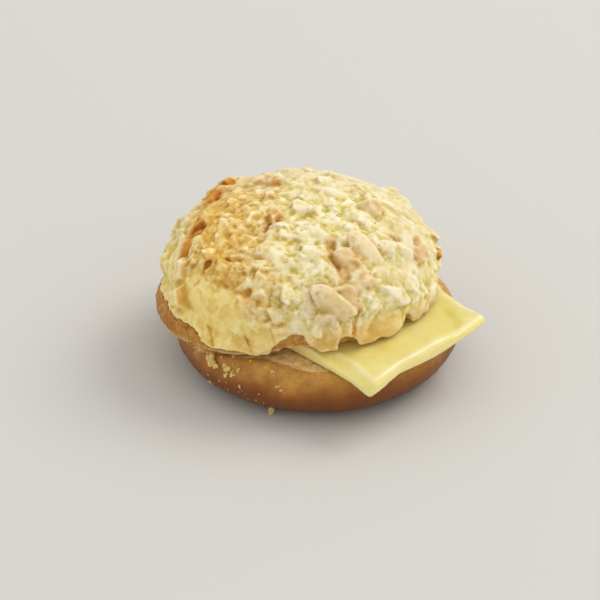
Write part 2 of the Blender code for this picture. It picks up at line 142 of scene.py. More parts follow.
# Where the crust's lower edge is torn away: the corners of each tear, as the angle round the crown and the
# height, and the radii that the cut reaches from and to.
TEARS = (
    (
        (225.6, 37.1), (224.8, 34.6), (223.2, 35.0), (222.0, 33.4), (220.0, 34.1), (218.4, 32.0),
        (216.4, 31.9), (215.1, 29.3), (213.1, 27.8), (211.4, 25.2), (213.0, 20.5), (229.5, 20.5),
        (228.9, 25.8), (227.6, 28.6), (227.4, 30.2), (226.0, 31.7), (226.4, 34.6),
    ),
    (
        (240.3, 32.2), (242.8, 33.0), (245.9, 32.0), (248.1, 30.7), (249.4, 27.1), (249.2, 24.0),
        (240.6, 24.0), (240.1, 28.9),
    ),
    ((266.6, 26.5), (267.7, 29.0), (269.8, 28.2), (271.3, 24.6), (267.0, 24.6)),
    ((273.1, 29.6), (274.9, 32.8), (277.0, 31.4), (278.4, 28.2), (277.8, 24.0), (273.1, 24.0)),
)
TEAR_INSIDE, TEAR_OUTSIDE = 38.0, 60.0

# How far apart the middles of the crust's tiles lie in millimetres, and how much farther where smooth.
TILE_SPACING = 8.0
SMOOTH_SPACING = 6.0
TILE_TRIES = 6000

# The room that each of the tiles above keeps to itself, in millimetres.
WHOLE_TILE = 14.0

# Flakes and crumbs strewn over the crust, largest first: count, smallest and largest half length,
# thickness, how deep they lie sunk as a share of it, and how much they tip. Lengths are in millimetres.
FLAKE_TIERS = (
    (200, 2.8, 5.0, 1.2, 0.35, 0.17),
    (300, 1.6, 2.9, 0.95, 0.25, 0.26),
    (220, 0.8, 1.5, 0.65, 0.15, 0.35),
)
CRUMB_TIERS = ((110, 0.6, 1.1, 0.55, 0.35, 0.3), (260, 0.3, 0.6, 0.35, 0.2, 0.3))

# How many different shapes of flake and of rounder lump there are.
FLAKE_KINDS = 14
LUMP_KINDS = 3

# The named lumps longer than this are of the rounder kind, in millimetres.
ROUNDER_FROM = 4.5

# The floor's side and the light from a window, in metres and watts.
FLOOR_SIZE = 30
ROOM_BRIGHTNESS = 0.92
WINDOW_POWER = 28
WINDOW_SIZE = 1.5
WINDOW_DISTANCE = 2.6

# Grains of crumb strewn on the lower half's side, and crumbs on the left of the upper half.
HEEL_GRAINS = 18
CROWN_CRUMBS = 230

# Larger crumbs that fell on the lower half's side: place and half size. Each is a cluster of a few bits.
BITS_PER_CRUMB = 4
FALLEN_CRUMBS = (
    ((-49.8, 2.9, 17.5), 1.9),
    ((-49.4, 4.4, 18.3), 1.4),
    ((-50.2, 1.1, 16.8), 1.3),
    ((-49.2, 3.2, 20.0), 1.3),
    ((-49.6, -3.8, 17.8), 1.4),
    ((-49.4, -3.0, 18.6), 0.9),
    ((-50.4, -4.5, 15.6), 1.1),
    ((-49.8, -6.8, 16.9), 1.1),
    ((-49.9, -6.2, 15.9), 0.8),
    ((-48.5, -8.4, 18.6), 0.7),
    ((-43.3, -20.1, 20.4), 0.9),
    ((-43.0, -20.8, 19.4), 0.6),
    ((-44.6, -23.1, 16.2), 0.5),
    ((-43.9, -24.9, 15.4), 0.6),
    ((-44.2, -24.2, 16.6), 0.5),
    ((-49.7, -10.1, 13.1), 0.6),
    ((-48.9, 5.2, 8.1), 0.6),
    ((-40.2, -16.6, 1.6), 1.5),
)


# What every piece is made with.


def linear(hex_colour):
    """An sRGB hex colour as the linear RGBA that shaders use."""
    channels = [int(hex_colour[i : i + 2], 16) / 255 for i in (0, 2, 4)]
    return (*[c / 12.92 if c <= 0.04045 else ((c + 0.055) / 1.055) ** 2.4 for c in channels], 1.0)


def only(piece):
    """Selects one piece and nothing else."""
    bpy.ops.object.select_all(action="DESELECT")
    piece.select_set(True)
    bpy.context.view_layer.objects.active = piece


def finish_with(piece, kind, **settings):
    """Adds a modifier and applies it."""
    modifier = piece.modifiers.new(kind.title(), kind)
    for name, value in settings.items():
        setattr(modifier, name, value)
    only(piece)
    bpy.ops.object.modifier_apply(modifier=modifier.name)


def copy_of(node, name):
    """A piece that starts as a copy of a solid, its loose triangles merged."""
    piece = bpy.data.objects.new(name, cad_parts[node].data.copy())
    bpy.context.scene.collection.objects.link(piece)
    piece.data.materials.clear()
    only(piece)
    bpy.ops.object.mode_set(mode="EDIT")
    bpy.ops.mesh.select_all(action="SELECT")
    bpy.ops.mesh.remove_doubles(threshold=0.01 * MM)
    bpy.ops.object.mode_set(mode="OBJECT")
    return piece


def remesh(piece, size, even_out=0):
    """Rebuilds a piece from small even faces, given their size in millimetres."""
    finish_with(piece, "REMESH", mode="VOXEL", voxel_size=size * MM, use_smooth_shade=True)
    if even_out:
        finish_with(piece, "SMOOTH", factor=0.5, iterations=even_out)


def points_of(piece):
    """The vertices, in millimetres."""
    flat = np.empty(len(piece.data.vertices) * 3)
    piece.data.vertices.foreach_get("co", flat)
    return flat.reshape(-1, 3) / MM


def set_points(piece, points):
    piece.data.vertices.foreach_set("co", (points * MM).ravel())
    piece.data.update()


def normals_of(piece):
    flat = np.empty(len(piece.data.vertices) * 3)
    piece.data.vertex_normals.foreach_get("vector", flat)
    return flat.reshape(-1, 3)


def ease(values, low, high):
    """Goes smoothly from 0 at low to 1 at high."""
    t = np.clip((values - low) / (high - low), 0, 1)
    return t * t * (3 - 2 * t)


def among_lumps(points, smallest=3.4):
    """1 on the larger lumps, whose faces are bare and smooth, and 0 away from them."""
    bare = np.zeros(len(points))
    for spot, length, width, _, _, _ in LUMPS:
        if length > smallest:
            far = np.linalg.norm(points - np.array(spot), axis=1) / (0.45 * length + 0.55 * width)
            bare = np.maximum(bare, 1 - ease(far, 0.85, 1.2))
    return bare


def rough(points, size, shift=0.0):
    """Soft noise with lumps of about that size in millimetres, from -1 to 1."""
    return np.array([noise.noise(Vector(p / size + shift)) for p in points])


def rough_fine(points, size, octaves, shift=0.0):
    """Noise of several sizes at once."""
    return np.array([noise.fractal(Vector(p / size + shift), 0.9, 2.0, octaves) for p in points])


def wander(points, size, reach, shift=0.0):
    """The points moved about a little, so that a pattern's edges aren't straight."""
    moved = [rough(points, size, shift + 17.0 * axis) for axis in range(3)]
    return points + reach * np.stack(moved, axis=1)


def cells(points, size, shift=0.0):
    """Irregular cells of about that size. For each point: its cell's random number from 0 to 1, its cell's
    middle in the same millimetres, and the room to the cell's edge."""
    level = np.empty(len(points))
    middle = np.empty((len(points), 3))
    room = np.empty(len(points))
    for i, p in enumerate(points):
        gaps, middles = noise.voronoi(Vector(p / size + shift))
        level[i] = noise.cell(middles[0] * 37.0)
        middle[i] = (np.array(middles[0]) - shift) * size
        room[i] = (gaps[1] - gaps[0]) * size
    return level, middle, room


def facets(points, size, shift, steps, tilt, crease, crease_depth):
    """The heights of a surface broken into small flat faces: each cell at its own height and tilt."""
    level, middle, room = cells(points, size, shift)
    ways = np.stack([np.sin(level * 91.0), np.sin(level * 57.0 + 2), np.sin(level * 133.0 + 4)], axis=1)
    slope = np.einsum("ij,ij->i", ways, points - middle) * tilt
    inside = ease(room, 0.0, crease)
    height = inside * (steps * (level - 0.5) + slope) - (1 - inside) * crease_depth
    return height, level


def spread_out(points, spacing, limit, rng, first=()):
    """Picks points at random that keep their own spacing from each other."""
    chosen = [np.array(p) for p in first]
    gaps = [WHOLE_TILE] * len(chosen)
    order = rng.permutation(len(points))[:limit]
    for i in order:
        p = points[i]
        if chosen:
            near = np.linalg.norm(np.array(chosen) - p, axis=1)
            if (near < np.maximum(spacing[i], 0.5 * np.array(gaps))).any():
                continue
        chosen.append(p)
        gaps.append(spacing[i])
    return np.array(chosen)


def nearest_two(points, seeds):
    """For each point its nearest seed and how much farther the second nearest is."""
    tree = KDTree(len(seeds))
    for i, seed in enumerate(seeds):
        tree.insert(seed, i)
    tree.balance()
    cell = np.empty(len(points), int)
    edge = np.empty(len(points))
    for i, p in enumerate(points):
        a, b = tree.find_n(p, 2)
        cell[i] = a[1]
        edge[i] = b[2] - a[2]
    return cell, edge


def distance_to_line(points, line):
    """The distance from each point to a line through several points."""
    best = np.full(len(points), 1e9)
    for a, b in zip(line, line[1:]):
        a, b = np.array(a), np.array(b)
        along = b - a
        t = np.clip((points - a) @ along / (along @ along), 0, 1)
        best = np.minimum(best, np.linalg.norm(points - a - t[:, None] * along, axis=1))
    return best


def smoothed(piece, points, times):
    """The points after each has moved to the middle of its neighbours, several times."""
    ends = np.empty(len(piece.data.edges) * 2, int)
    piece.data.edges.foreach_get("vertices", ends)
    a, b = ends.reshape(-1, 2).T
    count = np.maximum(np.bincount(a, minlength=len(points)) + np.bincount(b, minlength=len(points)), 1)
    for _ in range(times):
        total = np.empty_like(points)
        for axis in range(3):
            total[:, axis] = np.bincount(a, points[b, axis], len(points))
            total[:, axis] += np.bincount(b, points[a, axis], len(points))
        points = 0.5 * points + 0.5 * total / count[:, None]
    return points


def paint(piece, name, red, green, blue):
    """Stores three values for each vertex, for the material to read."""
    layer = piece.data.attributes.new(name, "FLOAT_COLOR", "POINT")
    values = np.stack([red, green, blue, np.ones(len(red))], axis=1)
    layer.data.foreach_set("color", np.clip(values, 0, 1).astype(np.float32).ravel())


def keep_in_box(points, clear=0.05):
    """Holds the points inside the solid model's box."""
    low = np.array(cad_low) / MM + clear
    high = np.array(cad_high) / MM - clear
    low[2] -= clear
    return np.clip(points, low, high)


def hand_in(piece, node, material):
    """Gives a finished piece its material and its place in the frame."""
    piece.data.materials.append(material)
    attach(piece, "root")
    if node:
        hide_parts(node)


# Crumbs, flakes and lumps of broken biscuit.


def cut_down(planes):
    """Cuts the new primitive by planes, each a direction and a distance. Gives its corners and faces."""
    lump = bpy.context.object
    bpy.ops.object.mode_set(mode="EDIT")
    for way, distance in planes:
        bpy.ops.mesh.select_all(action="SELECT")
        bpy.ops.mesh.bisect(plane_co=way * distance, plane_no=way, use_fill=True, clear_outer=True)
    bpy.ops.mesh.select_all(action="SELECT")
    bpy.ops.mesh.remove_doubles(threshold=0.12)
    bpy.ops.mesh.quads_convert_to_tris()
    bpy.ops.object.mode_set(mode="OBJECT")
    corners = np.array([v.co for v in lump.data.vertices])
    faces = [tuple(p.vertices) for p in lump.data.polygons]
    mesh = lump.data
    bpy.data.objects.remove(lump)
    bpy.data.meshes.remove(mesh)
    return corners, faces


def broken_lump(seed):
    """A lump of broken biscuit about 1 mm in radius: flat broken faces with worn edges."""
    rng = random.Random(seed)
    bpy.ops.object.select_all(action="DESELECT")
    bpy.ops.mesh.primitive_ico_sphere_add(subdivisions=2, radius=1.0)
    planes = []
    for _ in range(7):
        way = Vector((rng.gauss(0, 1), rng.gauss(0, 1), rng.gauss(0, 1))).normalized()
        planes.append((way, rng.uniform(0.6, 0.86)))
    return cut_down(planes)


def broken_flake(seed):
    """A flat flake of biscuit about 1 mm in radius: a tilted top and four to six broken sides that lean."""
    rng = random.Random(seed)
    bpy.ops.object.select_all(action="DESELECT")
    bpy.ops.mesh.primitive_cube_add(size=2.4)
    planes = []
    sides = rng.randint(4, 6)
    for side in range(sides):
        turn = 2 * math.pi * (side + rng.uniform(-0.42, 0.42)) / sides
        way = Vector((math.cos(turn), math.sin(turn), rng.uniform(-0.1, 0.55))).normalized()
        planes.append((way, rng.uniform(0.5, 1.05)))
    for _ in range(2):
        way = Vector((rng.gauss(0, 0.26), rng.gauss(0, 0.26), 1)).normalized()
        planes.append((way, rng.uniform(0.7, 1.0)))
    return cut_down(planes)


def scattered(name, kinds, places):
    """One mesh of many lumps. A place is (kind, 4 by 4 matrix in millimetres)."""
    corners, faces = [], []
    count = 0
    for kind, matrix in places:
        shape, sides = kinds[kind]
        moved = shape @ np.array(matrix.to_3x3()).T + np.array(matrix.translation)
        corners.append(moved)
        faces += [tuple(count + i for i in side) for side in sides]
        count += len(shape)
    mesh = bpy.data.meshes.new(name)
    mesh.from_pydata(np.concatenate(corners) * MM, [], faces)
    piece = bpy.data.objects.new(name, mesh)
    bpy.context.scene.collection.objects.link(piece)
    return piece


def standing(place, out, along, length, width, thick):
    """A matrix that sizes a unit lump and lays it on a surface, its length along a direction."""
    up = Vector(out).normalized()
    side = up.cross(Vector(along)).normalized()
    ahead = side.cross(up)
    turned = Matrix((ahead * length, side * width, up * thick)).transposed().to_4x4()
    return Matrix.Translation(Vector(place)) @ turned


def any_way(rng):
    """A random direction."""
    return Vector((rng.uniform(-1, 1), rng.uniform(-1, 1), rng.uniform(-1, 1)))


# The biscuit crust.


def round_the_crown(points):
    """The angle of each point about the crown's middle, in degrees from the part's right-hand side."""
    return np.degrees(np.arctan2(points[:, 1] - CROWN_MIDDLE[1], points[:, 0] - CROWN_MIDDLE[0])) % 360


def calmness(points):
    """Where the crust baked smooth: 1 on the tiles low on its side, 0 where it is crumbly."""
    angle, height = round_the_crown(points), points[:, 2]
    tiles = ease(angle, 160, 168) * (1 - ease(angle, 196, 204)) * (1 - ease(height, 43, 48))
    rim = 0.65 * ease(angle, 128, 142) * (1 - ease(angle, 160, 170)) * (1 - ease(height, 42, 47))
    beside = ease(angle, 192, 200) * (1 - ease(angle, 216, 224)) * (1 - ease(height, 36, 42))
    lobes = ease(angle, 222, 228) * (1 - ease(angle, 262, 285)) * (1 - ease(height, 34, 39))
    return np.maximum(np.maximum(tiles, rim), np.maximum(0.75 * beside, 0.8 * lobes))


def to_the_left(points):
    """How golden the crust is on its shaded left side, 0 to 1: partly browning and partly painted shade;
    its farthest tiles are painted paler again, as painted light against the shade there.
    """
    left = -(points @ SHOT_RIGHT_WAY)
    return ease(left, 2, 40) * (1 - 0.8 * ease(left, 40, 50)) * (1 - 0.4 * calmness(points))


def crumbliness(points):
    """How broken up the crust is: most in the middle, less at the right and back, not at all where calm."""
    right = points @ SHOT_RIGHT_WAY
    back = points @ SHOT_AWAY_WAY
    firm = np.maximum(0.65 * ease(right, 12, 34), 0.6 * ease(back, 10, 34) * ease(right, -22, 0))
    return (1 - calmness(points)) * (1 - firm)


def tiles(points, rng):
    """The crust broke into tiles as it baked. Gives their heights over the smooth form, in millimetres."""
    calm = calmness(points)
    seeds = spread_out(points, TILE_SPACING + SMOOTH_SPACING * calm, TILE_TRIES, rng, TILE_SEEDS)
    warped = wander(wander(points, 6.0, 1.8), 1.6, 0.5, 7.0)
    cell, edge = nearest_two(warped, seeds)
    lifts = rng.uniform(-1, 1, len(seeds))
    tilts = rng.normal(0, 0.09, (len(seeds), 3))
    facet = 0.6 * lifts[cell] + np.einsum("ij,ij->i", tilts[cell], warped - seeds[cell])
    inside = ease(edge, 0.1, 1.0)
    height = inside * np.clip(facet, -0.9, 0.9) - (1 - inside) * 0.4
    return height * (1 - 0.6 * calm)


def chunks(points, amount):
    """Smaller pieces within the tiles, each with its own height and tilt."""
    warped = wander(points, 3.0, 0.7, 3.0)
    height, level = facets(warped, 4.6, 1.0, steps=1.0, tilt=0.13, crease=0.9, crease_depth=0.2)
    return amount * height, level


def grains(points, amount):
    """The finest broken texture that this mesh can hold."""
    warped = wander(points, 1.4, 0.35, 11.0)
    height, level = facets(warped, 2.3, 5.0, steps=0.3, tilt=0.12, crease=0.6, crease_depth=0.04)
    return amount * height, level


def facing_away(points, normals):
    """How directly the surface faces away from the crown's middle: 1 straight away, -1 towards it."""
    away = points - CROWN_MIDDLE
    away /= np.linalg.norm(away, axis=1)[:, None]
    return np.einsum("ij,ij->i", normals, away)


def outward(points, normals):
    """1 on the crust's outside, 0 on the face against the bread."""
    return ease(facing_away(points, normals), 0.05, 0.45)


def thin_the_inside(crust):
    """Gives the hidden face against the bread larger triangles, so that the whole crust has few enough."""
    points = points_of(crust)
    hidden = np.flatnonzero((facing_away(points, normals_of(crust)) < -0.5) & (points[:, 2] > 30))
    group = crust.vertex_groups.new(name="hidden")
    group.add(hidden.tolist(), 1.0, "REPLACE")
    share = CRUST_TRIANGLES / (2 * len(crust.data.polygons))
    thinner = {"ratio": min(share, 1.0), "vertex_group": "hidden", "use_collapse_triangulate": True}
    finish_with(crust, "DECIMATE", **thinner)
    crust.vertex_groups.clear()


def around(angle, height, radius):
    """A point on an upright circle about the crown's middle, its angle in degrees."""
    turn = math.radians(angle)
    return (CROWN_MIDDLE[0] + radius * math.cos(turn), CROWN_MIDDLE[1] + radius * math.sin(turn), height)


def tear_out(crust, corners):
    """Takes a ragged piece out of the crust's edge."""
    count = len(corners)
    walls = [tuple(reversed(range(count))), tuple(range(count, 2 * count))]
    walls += [(i, (i + 1) % count, count + (i + 1) % count, count + i) for i in range(count)]
    rims = [around(*corner, radius) for radius in (TEAR_INSIDE, TEAR_OUTSIDE) for corner in corners]
    mesh = bpy.data.meshes.new("tear")
    mesh.from_pydata([[c * MM for c in corner] for corner in rims], [], walls)
    wedge = bpy.data.objects.new("tear", mesh)
    bpy.context.scene.collection.objects.link(wedge)
    only(wedge)
    bpy.ops.object.mode_set(mode="EDIT")
    bpy.ops.mesh.select_all(action="SELECT")
    bpy.ops.mesh.normals_make_consistent(inside=False)
    bpy.ops.object.mode_set(mode="OBJECT")
    finish_with(crust, "BOOLEAN", operation="DIFFERENCE", object=wedge, solver="EXACT")
    bpy.data.objects.remove(wedge)
    bpy.data.meshes.remove(mesh)


def in_a_groove(points):
    """1 in the wider browned grooves, which no loose flake fills."""
    near = np.zeros(len(points))
    for line, width, _, dark in GROOVES:
        if dark > 0.45:
            near = np.maximum(near, 1 - ease(distance_to_line(points, line) / width, 1.0, 1.6))
    return near


def by_a_tear(points):
    """1 at the edges of the tears, 0 a few millimetres away."""
    near = np.zeros(len(points))
    for corners in TEARS:
        line = [around(*corner, 49.5) for corner in (*corners, corners[0])]
        near = np.maximum(near, 1 - ease(distance_to_line(points, line), 2.5, 5.5))
    return near


def named_chunks():
    """The places of the chunks of biscuit that stand out one by one, the largest of them rounder."""
    places = []
    for number, (spot, length, width, thick, turn, _) in enumerate(LUMPS):
        out = (np.array(spot) - CROWN_MIDDLE) * np.array((1, 1, 1.35))
        slope = math.radians(turn)
        along = SHOT_RIGHT * math.cos(slope) - SHOT_UP * math.sin(slope)
        matrix = standing(spot, out, along, 1.25 * length, 1.25 * width, 1.2 * thick)
        kind = FLAKE_KINDS + number % LUMP_KINDS if length > ROUNDER_FROM else number % FLAKE_KINDS
        places.append((kind, matrix))
    return places


def strewn(crust, kinds, tiers, lowest, rng):
    """Places for flakes or crumbs, of so many kinds, at random over the crumbly parts of the crust."""
    points, normals = points_of(crust), normals_of(crust)
    outside = np.flatnonzero((outward(points, normals) > 0.7) & (points[:, 2] > lowest))
    amount = (crumbliness(points[outside]) ** 1.3 + 0.03) * (1 - 0.95 * among_lumps(points[outside]))
    amount *= (1 - by_a_tear(points[outside])) * (1 - 0.95 * in_a_groove(points[outside]))
    left = to_the_left(points[outside])
    places = []
    for count, small, large, thickness, sink, tip in tiers:
        share = amount / amount.sum()
        for i in rng.choice(outside, count, replace=False, p=share):
            length = rng.uniform(small, large) * (1 - 0.35 * left[np.searchsorted(outside, i)])
            thick = thickness * rng.uniform(0.7, 1.3)
            tumble = normals[i] + np.clip(rng.normal(0, tip, 3), -1.1 * tip, 1.1 * tip)
            spot = points[i] - normals[i] * sink * thick
            ahead = any_way(rng)
            matrix = standing(spot, tumble, ahead, length, length * rng.uniform(0.55, 0.95), thick)
            places.append((int(rng.integers(kinds)), matrix))
    return places


def make_crumbs(crust, rng):
    """Loose crumbs that baked onto the crust, with sharp broken faces, each of its own shade."""
    kinds = [broken_lump(seed) for seed in range(30, 42)]
    places = strewn(crust, len(kinds), CRUMB_TIERS, 31, rng)
    tones = np.concatenate([np.full(len(kinds[kind][0]), rng.uniform(0, 1)) for kind, _ in places])
    crumbs = scattered("crust_crumbs", kinds, places)
    spots = points_of(crumbs)
    set_points(crumbs, keep_in_box(spots))
    brown = np.maximum(0.8 * browning(spots), 0.7 * ease(tones, 0.93, 0.98))
    paint(crumbs, "bake_and_shade", 0.34 + 0.14 * tones, brown, to_the_left(spots))
    paint(crumbs, "broken", tones, tones, tones)
    return crumbs


def browning(points):
    """Where the crust baked darkest: on its knobs and in some of its grooves."""
    brown = np.zeros(len(points))
    for spot, length, width, _, _, dark in LUMPS:
        if dark:
            far = np.linalg.norm(points - np.array(spot), axis=1) / max(length, width)
            brown = np.maximum(brown, 1.25 * dark * (1 - ease(far, 0.75, 1.35)))
    for line, width, _, dark in GROOVES:
        far = distance_to_line(points, line) / width
        brown = np.maximum(brown, 1.25 * dark * (1 - ease(far, 0.5, 1.5)))
    return brown


def make_crust():
    """The crust: its smooth baked form, broken into tiles, chunks and grains."""
    rng = np.random.default_rng(5)
    crust = copy_of("biscuit_crust", "crackled_crust")
    for corners in TEARS:
        tear_out(crust, corners)
    remesh(crust, ROUGH_CRUST_FACE, even_out=1)

    # The solid's coarse relief is evened out above the lower edge, to make room for a finer one.
    points, normals = points_of(crust), normals_of(crust)
    outside = outward(points, normals)
    evened = smoothed(crust, points, 40)
    amount = 0.8 * outside * ease(points[:, 2], 33, 38) * (1 - by_a_tear(points))
    points = points + amount[:, None] * (evened - points + 0.35 * normals)
    set_points(crust, points)

    # Tiles, smaller chunks within them, and the grooves.
    normals = normals_of(crust)
    broken = crumbliness(points)
    chunky, _ = chunks(points, 0.1 + 0.9 * broken)
    chunky *= 1 - calmness(points)
    relief = (0.9 * tiles(points, rng) + 0.25 * chunky) * (1 - 0.9 * among_lumps(points))
    for line, width, depth, _ in GROOVES:
        far = distance_to_line(wander(points, 2.5, 0.9, 3.0), line) / width
        relief -= depth * (1 - ease(far, 0.3, 1.3))
    # The left side lies lower, as its outline shows.
    relief -= 1.5 * ease(-(points @ SHOT_RIGHT_WAY), 36, 48) * ease(points[:, 2], 27, 34)
    relief = np.clip(relief, -2.4, 1.3)
    points = points + normals * (relief * outside)[:, None]
    # The lower edge is ragged.
    near_edge = 1 - ease(points[:, 2], 27, 34)
    points[:, 2] += near_edge * np.clip(1.3 * rough(points, 2.6, 14.0) + 0.5, 0, 1.4)
    set_points(crust, points)

    # Flakes and lumps are baked into one skin with the rest.
    kinds = [broken_flake(seed) for seed in range(FLAKE_KINDS)]
    places = strewn(crust, FLAKE_KINDS, FLAKE_TIERS, 33, rng) + named_chunks()
    kinds += [broken_lump(seed) for seed in range(LUMP_KINDS)]
    lumps = scattered("chunks", kinds, places)
    only(crust)
    lumps.select_set(True)
    bpy.ops.object.join()
    remesh(crust, CRUST_FACE)
    finish_with(crust, "SMOOTH", factor=0.5, iterations=3)
    thin_the_inside(crust)

    # The finest grain.
    points, normals = points_of(crust), normals_of(crust)
    outside = outward(points, normals)
    broken = crumbliness(points)
    fine, tone = grains(points, 0.1 + 0.9 * broken)
    fine *= 0.55 * (1 - 0.8 * calmness(points)) * (1 - 0.85 * among_lumps(points))
    fine += 0.05 * rough_fine(points, 0.9, 2)
    points = keep_in_box(points + normals * (fine * np.maximum(outside, 0.15))[:, None])
    set_points(crust, points)

    # Crevices are painted darker as shade and what stands out paler as light.
    normals = normals_of(crust)
    near = np.einsum("ij,ij->i", points - smoothed(crust, points, 5), normals)
    wide = np.einsum("ij,ij->i", points - smoothed(crust, points, 40), normals)
    standing_out = 0.52 + 0.8 * near + 0.32 * wide
    # The back and the right are painted darker and duller, as shade against the strong light that falls
    # there.
    right, back = points @ SHOT_RIGHT_WAY, points @ SHOT_AWAY_WAY
    dulled_where_lit = np.maximum(ease(back, 8, 40), 0.8 * ease(right, 15, 35))
    standing_out -= 0.06 * dulled_where_lit

    # Browned: the knobs and grooves, the lower edge, the lobes over the butter, and here and there; faces
    # turned to the left get the same brown as painted shade.
    brown = browning(points)
    over_butter = ease(-points[:, 1], 14, 24)
    height = points[:, 2] + 1.5 * rough(points, 5.0, 4.0)
    low_edge = 1 - ease(height, 26.0 + over_butter, 30.0 + 5.0 * over_butter)
    brown = np.maximum(brown, (0.15 + 0.27 * over_butter) * low_edge)
    angle = round_the_crown(points)
    lobes = ease(angle, 222, 227) * (1 - ease(angle, 262, 275)) * (1 - ease(points[:, 2], 33, 39))
    brown = np.maximum(brown, 0.34 * lobes)
    patches = ease(rough(points, 7.0, 9.0), 0.25, 0.6) * broken
    brown = np.maximum(brown, 0.3 * patches)
    steep = -(normals @ SHOT_RIGHT_WAY) * (1 - calmness(points))
    shaded = ease(steep, 0.15, 0.85) * ease(right, -46, -10)
    brown = np.maximum(brown, 0.45 * shaded)
    _, chunk_tone = chunks(points, 1.0)
    # The first value is painted shade in crevices and painted light on tops; the second is browning with
    # painted shade on faces turned left; the third is the golden left side, partly painted shade.
    paint(crust, "bake_and_shade", standing_out, np.maximum(brown, 0.5 * (1 - outside)), to_the_left(points))
    paint(crust, "broken", chunk_tone, tone, broken)
    paint(crust, "still", calmness(points), dulled_where_lit * ease(points[:, 2], 36, 50), broken)
    crust.data.shade_smooth()
    return crust


# The two halves of bread.


def crumb_pores(points):
    """The open texture of torn bread: soft pits of several sizes."""
    pores = np.zeros(len(points))
    for size, depth, shift in ((3.2, 0.9, 1.0), (1.6, 0.45, 2.0)):
        warped = wander(points, 3.0, 0.5, shift)
        near = np.array([noise.voronoi(Vector(p / size + shift))[0][0] for p in warped])
        pores -= depth * (1 - ease(near, 0.15, 0.62))
    return pores + 0.25 * rough_fine(points, 1.4, 3)


# How far out the open crumb of the lower half reaches, by the angle about its middle.
TORN_ANGLES = (140, 152, 165, 181, 200, 210, 219, 230)
TORN_RADII = (46.2, 47.5, 50.6, 46.4, 43.0, 43.6, 45.6, 46.2)


def make_heel():
    """The lower half: brown satin skin, pale open crumb on the cut."""
    heel = copy_of("heel_bread", "lower_bread")
    remesh(heel, BREAD_FACE, even_out=6)
    points, normals = points_of(heel), normals_of(heel)
    radius = np.linalg.norm(points[:, :2], axis=1)
    angle = np.degrees(np.arctan2(points[:, 1], points[:, 0])) % 360
    frayed = np.exp(-(((angle - 165) / 11) ** 2))
    torn = np.interp(angle, TORN_ANGLES, TORN_RADII) + 0.9 * rough(points, 4.0, 6.0)
    torn += 0.5 * rough(points, 1.5, 2.0)
    facing = ease(normals[:, 2] + 0.35 * frayed, 0.5, 0.8)
    cut = (1 - ease(radius - torn, -0.5, 0.5)) * facing * (points[:, 2] > 11)
    skin = 0.22 * rough(points, 6.0) + 0.1 * rough_fine(points, 1.8, 3)
    sides = (1 - cut) * ease(points[:, 2], 0.5, 5)
    flap = 0.5 * rough_fine(points, 2.6, 3, 5.0) * ease(radius, 38, 44)
    height = skin * sides + cut * (0.7 * crumb_pores(points) + flap - 0.05)
    height[points[:, 2] < 0.4] = 0
    points = keep_in_box(points + normals * height[:, None])
    points[:, 2] = np.maximum(points[:, 2], np.array(cad_low)[2] / MM)
    set_points(heel, points)
    heel.data.shade_smooth()
    # Darker at the front and at the left as painted shade, and in random cloudy patches.
    dark = 0.25 + 0.14 * np.exp(-(((angle - 252) / 27) ** 2))
    dark += 0.35 * np.exp(-(((angle - 178) / 22) ** 2))
    dark += 0.35 * rough(points, 9.0, 7.0) + 0.25 * rough(points, 3.0, 2.0)
    # The skin grows paler and more golden towards the cut: partly its own colour, partly painted light
    # under the crust and painted shade lower down.
    paint(heel, "bread", cut, ease(points[:, 2], 7, 20.5), 0.5 * dark)
    return heel


def make_crown():
    """The upper half: it shows below the crust, behind its tears and on its cut face."""
    crown = copy_of("crown_bread", "upper_bread")
    remesh(crown, BREAD_FACE, even_out=4)
    points, normals = points_of(crown), normals_of(crown)
    cut = ease(-normals[:, 2], 0.25, 0.6)
    ragged = points[:, 2] + 1.2 * rough(points, 3.5, 8.0) + 0.5 * rough(points, 1.4, 3.0)
    below = 1 - ease(points[:, 1] - 8, -8, 14)
    torn = 1 - ease(ragged, 17.5 + 4.0 * below, 18.7 + 4.0 * below)
    skin = 0.3 * rough(points, 5.0, 2.0) + 0.32 * rough_fine(points, 1.5, 3, 4.0)
    side = (1 - cut) * (1 - ease(points[:, 2], 31, 34))
    height = skin * side + (0.55 * crumb_pores(points) - 0.1) * np.maximum(cut, 0.8 * torn * side)
    height -= 0.12 * ease(points[:, 2], 31, 34)
    set_points(crown, keep_in_box(points + normals * height[:, None]))
    crown.data.shade_smooth()
    dark = 0.1 + 0.6 * rough(points, 2.0, 6.0)
    paint(crown, "bread", np.maximum(cut, 0.8 * torn), 0.6 + 0.4 * ease(points[:, 2], 18, 32), 0.5 * dark)
    return crown


# The butter, and the crumbs that fell on the bread.


